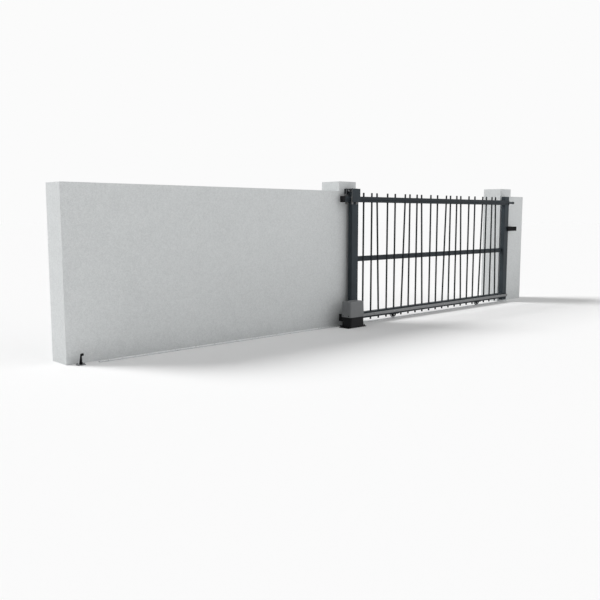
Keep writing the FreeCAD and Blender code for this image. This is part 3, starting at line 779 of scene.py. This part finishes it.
class GATE_OT_bars(bpy.types.Operator):
    """Infill bars with rounded tops, and the welds that hold them"""

    bl_idname = "gate.bars"
    bl_label = "Infill bars"

    def execute(self, context):
        leaf = look("gate_leaf")
        rings = []
        for node in ("upright_bars", "leaning_bars"):
            rings += self.bars(node, leaf.bar_crown)
        points = [point for point, facing in rings]
        seed = seed_mesh("bar_welds", points, facing=[facing for point, facing in rings])
        # The weld rings take the rails' deeper coat, which is painted shade.
        grow("bar_welds", "rings", seed, body_of("upright_bars"), "rail_shade_coat", "anthracite",
             radius=self.radius + leaf.bead / 3, bead=leaf.bead)
        return {"FINISHED"}

    def bars(self, node, crown):
        """Rebuild a node's bars along their own lines, and say where they pass the rails."""
        points, edges, widths, rings = [], [], [], []
        end_slice, flat_top = 0.002, 0.2
        crown_steps = (0.35, 0.65, 0.88, 1.0)
        for island in solids(node):
            low, high = min(point.z for point in island), max(point.z for point in island)
            foot = middle([point for point in island if point.z < low + end_slice])
            top = middle([point for point in island if point.z > high - end_slice])
            self.radius = (max(p.y for p in island) - min(p.y for p in island)) / 2
            axis = (top - foot).normalized()
            start = len(points)
            steps = [(foot, 1.0), (top - axis * crown, 1.0)]
            for share in crown_steps:
                turn = share * math.pi / 2
                width = max(flat_top, math.cos(turn * 0.9))
                steps.append((top - axis * crown * (1 - math.sin(turn)), width))
            points += [point for point, width in steps]
            widths += [width for point, width in steps]
            edges += [(start + n, start + n + 1) for n in range(len(steps) - 1)]
            for height in self.crossings(foot.z):
                along = (height - foot.z) / axis.z
                rings.append((foot + axis * along, axis))
        seed = seed_mesh(node + "_lines", points, edges, width=widths)
        bars = grow(node + "_round", "paths", seed, body_of(node), "bar_coat", "anthracite",
                    radius=self.radius)
        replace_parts(bars, node)
        return rings

    def crossings(self, foot):
        """Heights where a bar meets the faces of the top rail and the bottom beam."""
        rail_low, rail_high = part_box("top_rail")
        beam_low, beam_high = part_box("bottom_beam")
        heights = [rail_high.z, rail_low.z, beam_high.z]
        if foot < beam_low.z:
            heights.append(beam_low.z)
        return heights


class GATE_OT_leaf(bpy.types.Operator):
    """The leaf's frame, its welds and its closing pin"""

    bl_idname = "gate.leaf"
    bl_label = "Leaf frame"

    def execute(self, context):
        dress("anthracite", "left_stile", "right_stile", "closing_pin")
        # The rails and the beam take a deeper coat that is painted shade.
        dress("rail_shade_coat", "top_rail", "mid_rail", "bottom_beam")
        dress("black_rubber", "top_rail_caps", "beam_caps", "pin_tip")
        bead = look("gate_leaf").bead
        tube_corner, bar_corner = 0.01, 0.002
        lines = []
        rail, beam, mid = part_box("top_rail"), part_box("bottom_beam"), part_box("mid_rail")
        for stile in ("left_stile", "right_stile"):
            low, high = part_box(stile)
            inner = high.x if stile == "left_stile" else low.x
            for member in (rail, beam):
                depth = [max(low.y, member[0].y), min(high.y, member[1].y)]
                lines += [((low.x + tube_corner, y, z), (high.x - tube_corner, y, z)) for y in depth
                          for z in (member[0].z, member[1].z)]
            for z in (mid[0].z, mid[1].z):
                lines.append(((inner, mid[0].y + bar_corner, z), (inner, mid[1].y - bar_corner, z)))
        seams("frame_welds", body_of("left_stile"), lines, "anthracite", bead)
        return {"FINISHED"}


class GATE_OT_carriages(bpy.types.Operator):
    """Wheel carriages with axle nuts and the bolts that hold them under the beam"""

    bl_idname = "gate.carriages"
    bl_label = "Wheel carriages"

    def execute(self, context):
        size = look("gate_fasteners")
        flange, end_inset, side_inset, nut_seat = 0.006, 0.022, 0.016, 0.006
        under, ends = [], []
        for side in ("rear", "front"):
            dress("dark_steel", f"{side}_carriage")
            dress("bright", f"{side}_axle", f"{side}_wheel")
            low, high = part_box(f"{side}_carriage")
            axle_low, axle_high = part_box(f"{side}_axle")
            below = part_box("bottom_beam")[0].z - flange
            under += [((x, y, below), (0, 0, -1)) for x in (low.x + end_inset, high.x - end_inset)
                      for y in (low.y + side_inset, high.y - side_inset)]
            centre = (axle_low + axle_high) / 2
            ends += [((centre.x, axle_low.y + nut_seat, centre.z), (0, -1, 0)),
                     ((centre.x, axle_high.y - nut_seat, centre.z), (0, 1, 0))]
        body = body_of("rear_carriage")
        bolts("carriage_bolts", body, under, size.bolt_flats)
        radius = (axle_high.z - axle_low.z) / 2
        bolts("axle_nuts", body, ends, size.axle_flats, head=0.008, washer_thickness=0.0015,
              stud=radius, stud_reach=0.002)
        return {"FINISHED"}


class GATE_OT_rail(bpy.types.Operator):
    """The ground rail and the screws that hold it down"""

    bl_idname = "gate.rail"
    bl_label = "Ground rail"

    def execute(self, context):
        dress("rail_zinc", "ground_rail")
        size = look("gate_fasteners")
        low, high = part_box("ground_rail")
        strip, inset, end_inset = 0.005, 0.008, 0.1
        run = high.x - low.x - 2 * end_inset
        count = int(run / size.screw_pitch) + 1
        step = run / (count - 1)
        places = []
        for number in range(count):
            x = low.x + end_inset + number * step
            places.append(((x, low.y + inset, strip), (0, 0, 1)))
            if number < count - 1:
                places.append(((x + step / 2, high.y - inset, strip), (0, 0, 1)))
        bolts("rail_screws", body_of("ground_rail"), places, size.screw_flats, washer=0.0075)
        return {"FINISHED"}


class GATE_OT_guide(bpy.types.Operator):
    """The top guide with its rollers, pin heads, wall bolt and welds"""

    bl_idname = "gate.guide"
    bl_label = "Top guide"

    def execute(self, context):
        eased("anthracite", "guide_wall_plate", "guide_top_plate", "guide_front_plate")
        dress("rack_zinc", "roller_pins")
        dress("nylon", *[node for node in frame["nodes"] if node.startswith("guide_roller")])
        size = look("gate_fasteners")
        body = body_of("guide_top_plate")
        top_low, top_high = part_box("guide_top_plate")
        heads = []
        for pin in solids("roller_pins"):
            centre = middle(pin)
            heads.append(((centre.x, centre.y, top_high.z), (0, 0, 1)))
        bolts("guide_pin_heads", body, heads, size.anchor_flats, "anthracite", "anthracite",
              head=0.0022, washer_thickness=0.0008, stud=0.002)
        wall_low, wall_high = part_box("guide_wall_plate")
        washer, washer_gap, aside = 0.017, 0.001, 0.009
        across = middle([wall_low, wall_high]).x + aside
        hold = ((across, wall_low.y, wall_high.z - washer - washer_gap), (0, -1, 0))
        bolts("guide_wall_bolts", body, [hold], size.anchor_flats, "rail_zinc", head=0.01, washer=washer)
        inside = (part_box("guide_front_plate")[1].y, wall_low.y)
        weld_inset, wide_bead = 0.003, look("gate_leaf").bead * 1.3
        run = (top_low.x + weld_inset, top_high.x - weld_inset)
        lines = [[(x, y, top_low.z) for x in run] for y in inside]
        seams("guide_welds", body, lines, "anthracite", wide_bead)
        return {"FINISHED"}


class GATE_OT_catch(bpy.types.Operator):
    """The closing catch and the bolts that hold it on the pillar"""

    bl_idname = "gate.catch"
    bl_label = "Closing catch"

    def execute(self, context):
        eased("dark_steel", "closing_catch")
        low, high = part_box("closing_catch")
        plate, near_inset, far_inset, edge_inset = 0.008, 0.05, 0.045, 0.02
        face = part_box("right_pillar")[0].y - plate
        span = (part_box("right_stile")[1].x + near_inset, high.x - far_inset)
        levels = (low.z + edge_inset, high.z - edge_inset)
        places = [((x, face, z), (0, -1, 0)) for x in span for z in levels]
        size = look("gate_fasteners")
        bolts("catch_bolts", body_of("closing_catch"), places, size.bolt_flats, head=0.007)
        return {"FINISHED"}


class GATE_OT_stop(bpy.types.Operator):
    """The open stop with its buffer, anchors and welds"""

    bl_idname = "gate.stop"
    bl_label = "Open stop"

    def execute(self, context):
        eased("dark_steel", "stop_post")
        eased("rack_zinc", "stop_plate", record_slot="galvanised")
        dress("black_rubber", "stop_buffer")
        size = look("gate_fasteners")
        body = body_of("stop_plate")
        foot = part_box("stop_plate")[1].z
        places = anchor_places("stop_anchor_bolts", foot)
        bolts("stop_anchors", body, places, size.bolt_flats, "rack_zinc", stud_reach=0.006)
        low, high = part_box("stop_post")
        ring = [(low.x, low.y, foot), (high.x, low.y, foot), (high.x, high.y, foot), (low.x, high.y, foot)]
        lines = [(ring[n], ring[(n + 1) % 4]) for n in range(4)]
        seams("stop_welds", body, lines, "dark_steel", look("gate_leaf").bead)
        return {"FINISHED"}


class GATE_OT_rack(bpy.types.Operator):
    """The gear rack with the bolts that hold it off the beam"""

    bl_idname = "gate.rack"
    bl_label = "Gear rack"

    def execute(self, context):
        dress("rack_zinc", "gear_rack", "rack_spacers")
        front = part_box("gear_rack")[0].y
        places = []
        for spacer in solids("rack_spacers"):
            centre = middle(spacer)
            places.append(((centre.x, front, centre.z), (0, -1, 0)))
        bolts("rack_bolts", body_of("gear_rack"), places, look("gate_fasteners").rack_flats)
        return {"FINISHED"}


class GATE_OT_drive(bpy.types.Operator):
    """The drive with its anchors and cover screws"""

    bl_idname = "gate.drive"
    bl_label = "Drive"

    def execute(self, context):
        dress("cover_plastic", "drive_cover")
        dress("base_casting", "drive_base")
        eased("dark_steel", "drive_plate")
        dress("bright", "drive_shaft", "pinion")
        size = look("gate_fasteners")
        body = body_of("drive_plate")
        places = anchor_places("drive_anchor_bolts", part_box("drive_plate")[1].z)
        bolts("drive_anchors", body, places, size.anchor_flats, "dark_steel", "dark_steel",
              stud=0.006, stud_reach=0.012)
        low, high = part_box("drive_cover")
        inset, lift = 0.04, 0.022
        ends = ((low.x, -1), (high.x, 1))
        screws = [((x, y, low.z + lift), (side, 0, 0)) for x, side in ends
                  for y in (low.y + inset, high.y - inset)]
        bolts("cover_screws", body, screws, size.screw_flats, "dark_steel", "dark_steel",
              head=0.004, washer=0.007, washer_thickness=0.0012)
        return {"FINISHED"}


class GATE_OT_stage(bpy.types.Operator):
    """Pale floor, soft light and the camera"""

    bl_idname = "gate.stage"
    bl_label = "Stage"

    def execute(self, context):
        stage = look("gate_stage")
        scene = context.scene
        scene.view_settings.view_transform = "Standard"
        self.floor(stage)
        self.world(scene, stage)
        self.lamp("key", stage.key, stage.key_from, stage.key_spread)
        self.lamp("fill", stage.fill, stage.fill_from, stage.fill_spread)
        lens = bpy.data.cameras.new("camera")
        lens.lens = stage.lens
        lens.sensor_width = stage.sensor
        camera = bpy.data.objects.new("camera", lens)
        camera.location = stage.eye
        camera.rotation_euler = Euler((math.pi / 2 - stage.pitch, 0, -stage.yaw))
        scene.collection.objects.link(camera)
        scene.camera = camera
        return {"FINISHED"}

    def floor(self, stage):
        reach = 150.0
        mesh = bpy.data.meshes.new("floor")
        corners = [(-reach, -reach, 0), (reach, -reach, 0), (reach, reach, 0), (-reach, reach, 0)]
        mesh.from_pydata(corners, [], [(0, 1, 2, 3)])
        plain = Finish("pale_floor")
        mesh.materials.append(plain.surface(base_color=(*stage.floor, 1), roughness=0.9,
                                            specular_ior_level=0.0))
        floor = bpy.data.objects.new("floor", mesh)
        bpy.context.scene.collection.objects.link(floor)

    def world(self, scene, stage):
        world = bpy.data.worlds.new("studio")
        world.use_nodes = True
        scene.world = world
        w = Wiring(world.node_tree)
        w.tree.nodes.clear()
        camera, glossy, clear = [w.add("ShaderNodeLightPath", output=name)
                                 for name in ("Is Camera Ray", "Is Glossy Ray", "Is Transmission Ray")]
        seen = w.add("ShaderNodeMath", {"operation": "ADD", "use_clamp": True},
                     {0: camera + glossy, 1: clear})
        strength = seen * (stage.backdrop - stage.sky) + stage.sky
        shade = w.add("ShaderNodeBackground", {}, {"Color": (1, 1, 1, 1), "Strength": strength})
        w.add("ShaderNodeOutputWorld", {}, {"Surface": shade}, None)

    def lamp(self, name, strength, source, spread):
        light = bpy.data.lights.new(name, "SUN")
        light.energy = strength
        light.angle = spread
        lamp = bpy.data.objects.new(name, light)
        lamp.rotation_euler = Vector(source).to_track_quat("Z", "Y").to_euler()
        bpy.context.scene.collection.objects.link(lamp)


OPERATORS = (GATE_OT_masonry, GATE_OT_leaf, GATE_OT_bars, GATE_OT_carriages, GATE_OT_rail, GATE_OT_guide,
             GATE_OT_catch, GATE_OT_stop, GATE_OT_rack, GATE_OT_drive, GATE_OT_stage)


class GATE_PT_finish(bpy.types.Panel):
    """Lists the gate's pieces"""

    bl_idname = "GATE_PT_finish"
    bl_label = "Sliding gate"
    bl_space_type = "VIEW_3D"
    bl_region_type = "UI"
    bl_category = "Gate"

    def draw(self, context):
        for operator in OPERATORS:
            self.layout.operator(operator.bl_idname)


def register():
    for group in LOOKS.values():
        bpy.utils.register_class(group)
    for name, group in LOOKS.items():
        setattr(bpy.types.Scene, name, PointerProperty(type=group))
    for operator in OPERATORS:
        bpy.utils.register_class(operator)
    bpy.utils.register_class(GATE_PT_finish)


def unregister():
    bpy.utils.unregister_class(GATE_PT_finish)
    for operator in reversed(OPERATORS):
        bpy.utils.unregister_class(operator)
    for name, group in reversed(LOOKS.items()):
        delattr(bpy.types.Scene, name)
        bpy.utils.unregister_class(group)


def main():
    register()
    for operator in OPERATORS:
        group, name = operator.bl_idname.split(".")
        getattr(getattr(bpy.ops, group), name)()


if __name__ == "__main__":
    main()
